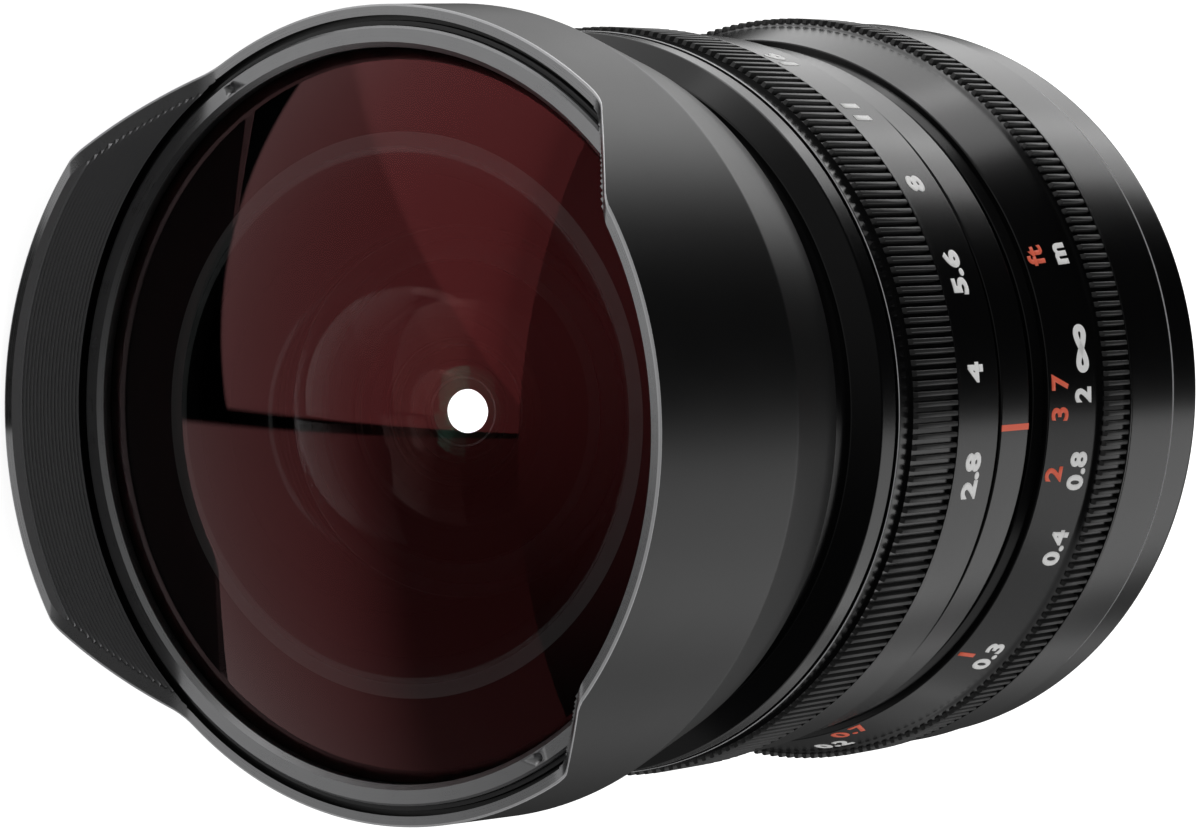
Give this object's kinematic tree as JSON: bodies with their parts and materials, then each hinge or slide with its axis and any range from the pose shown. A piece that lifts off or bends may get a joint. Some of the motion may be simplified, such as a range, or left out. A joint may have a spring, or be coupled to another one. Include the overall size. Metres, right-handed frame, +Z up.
{
  "type": "fisheye camera lens",
  "caption": "Fisheye camera lens with petal hood, bulging front element, knurled aperture and focus rings and a bayonet mount.",
  "frame": {"origin": "centre of the mount flange's rear face, on the optical axis", "axes": "the lens looks along -Y, the bayonet stands out towards +Y, +Z is up through the index mark and the upper hood petal, +X is to the right as seen from the front"},
  "size_m": [0.0746, 0.1007, 0.0744],
  "materials": {
    "barrel_black": "fine satin black coat on machined metal",
    "cell_black": "flat black inner coat",
    "mount_metal": "polished plated metal",
    "screw_metal": "bright steel",
    "inner_metal": "turned, dark greased",
    "inner_brass": "turned, greased",
    "blade_steel": "dark, thin sheet",
    "glass_coated": "coated, clear",
    "seal_rubber": "soft",
    "black_plastic": "flat black",
    "dot_white": "white bead and white marks"
  },
  "bodies": {
    "mount": {"mount_bayonet": "mount_metal", "mount_screws": "screw_metal", "mount_index_dot": "dot_white", "rear_baffle": "black_plastic", "rear_barrel": "barrel_black", "guide_sleeve": "inner_metal", "sleeve_screws": "screw_metal", "guide_keys": "inner_brass"},
    "focus": {"focus_ring": "barrel_black", "helicoid_ring": "inner_brass", "focus_guide_pins": "screw_metal"},
    "front_unit": {"inner_helicoid": "inner_metal", "front_barrel": "barrel_black", "index_ring": "barrel_black", "petal_hood": "barrel_black", "front_cell": "barrel_black", "front_seal": "seal_rubber", "front_retaining_ring": "barrel_black", "front_element": "glass_coated", "front_group_cell": "cell_black", "second_element": "glass_coated", "second_element_ring": "cell_black", "third_element": "glass_coated", "third_element_ring": "cell_black", "front_pair_crown": "glass_coated", "front_pair_flint": "glass_coated", "front_pair_ring": "cell_black", "iris_housing": "cell_black", "iris_screws": "screw_metal", "iris_keeper": "inner_metal", "rear_group_cell": "cell_black", "rear_single_element": "glass_coated", "middle_pair_crown": "glass_coated", "middle_pair_flint": "glass_coated", "back_pair_crown": "glass_coated", "back_pair_flint": "glass_coated", "last_element": "glass_coated", "rear_retaining_ring": "cell_black", "rear_spacer_1": "cell_black", "rear_spacer_2": "cell_black", "rear_spacer_3": "cell_black"},
    "aperture": {"iris_drive_ring": "inner_brass", "aperture_link": "inner_metal", "aperture_ring": "barrel_black"},
    "blade_1": {"iris_blade_1": "blade_steel"},
    "blade_2": {"iris_blade_2": "blade_steel"},
    "blade_3": {"iris_blade_3": "blade_steel"},
    "blade_4": {"iris_blade_4": "blade_steel"},
    "blade_5": {"iris_blade_5": "blade_steel"},
    "blade_6": {"iris_blade_6": "blade_steel"},
    "blade_7": {"iris_blade_7": "blade_steel"}
  },
  "joints": [
    {"name": "focus_turn", "type": "hinge", "parent": "mount", "child": "focus", "pos_m": [0, -0.0234, 0], "axis": [0, -1, 0], "range_deg": [-11.6, 72]},
    {"name": "front_slide", "type": "slide", "parent": "mount", "child": "front_unit", "axis": [0, -1, 0], "range_m": [-0.000118, 0.000722]},
    {"name": "aperture_turn", "type": "hinge", "parent": "front_unit", "child": "aperture", "pos_m": [0, -0.0474, 0], "axis": [0, -1, 0], "range_deg": [-70.3, 7]},
    {"name": "blade_1_turn", "type": "hinge", "parent": "front_unit", "child": "blade_1", "pos_m": [0, -0.0438, 0.013], "axis": [0, -1, 0], "range_deg": [-1.88, 18.74]},
    {"name": "blade_2_turn", "type": "hinge", "parent": "front_unit", "child": "blade_2", "pos_m": [-0.01016, -0.0438, 0.00811], "axis": [0, -1, 0], "range_deg": [-1.88, 18.74]},
    {"name": "blade_3_turn", "type": "hinge", "parent": "front_unit", "child": "blade_3", "pos_m": [-0.01267, -0.0438, -0.00289], "axis": [0, -1, 0], "range_deg": [-1.88, 18.74]},
    {"name": "blade_4_turn", "type": "hinge", "parent": "front_unit", "child": "blade_4", "pos_m": [-0.00564, -0.0438, -0.01171], "axis": [0, -1, 0], "range_deg": [-1.88, 18.74]},
    {"name": "blade_5_turn", "type": "hinge", "parent": "front_unit", "child": "blade_5", "pos_m": [0.00564, -0.0438, -0.01171], "axis": [0, -1, 0], "range_deg": [-1.88, 18.74]},
    {"name": "blade_6_turn", "type": "hinge", "parent": "front_unit", "child": "blade_6", "pos_m": [0.01267, -0.0438, -0.00289], "axis": [0, -1, 0], "range_deg": [-1.88, 18.74]},
    {"name": "blade_7_turn", "type": "hinge", "parent": "front_unit", "child": "blade_7", "pos_m": [0.01016, -0.0438, 0.00811], "axis": [0, -1, 0], "range_deg": [-1.88, 18.74]}
  ],
  "couplings": [
    {"joint": "front_slide", "follows": "focus_turn", "m_per_rad": 0.00057296},
    {"joint": "blade_1_turn", "follows": "aperture_turn", "ratio": -0.26649},
    {"joint": "blade_2_turn", "follows": "aperture_turn", "ratio": -0.26649},
    {"joint": "blade_3_turn", "follows": "aperture_turn", "ratio": -0.26649},
    {"joint": "blade_4_turn", "follows": "aperture_turn", "ratio": -0.26649},
    {"joint": "blade_5_turn", "follows": "aperture_turn", "ratio": -0.26649},
    {"joint": "blade_6_turn", "follows": "aperture_turn", "ratio": -0.26649},
    {"joint": "blade_7_turn", "follows": "aperture_turn", "ratio": -0.26649}
  ]
}
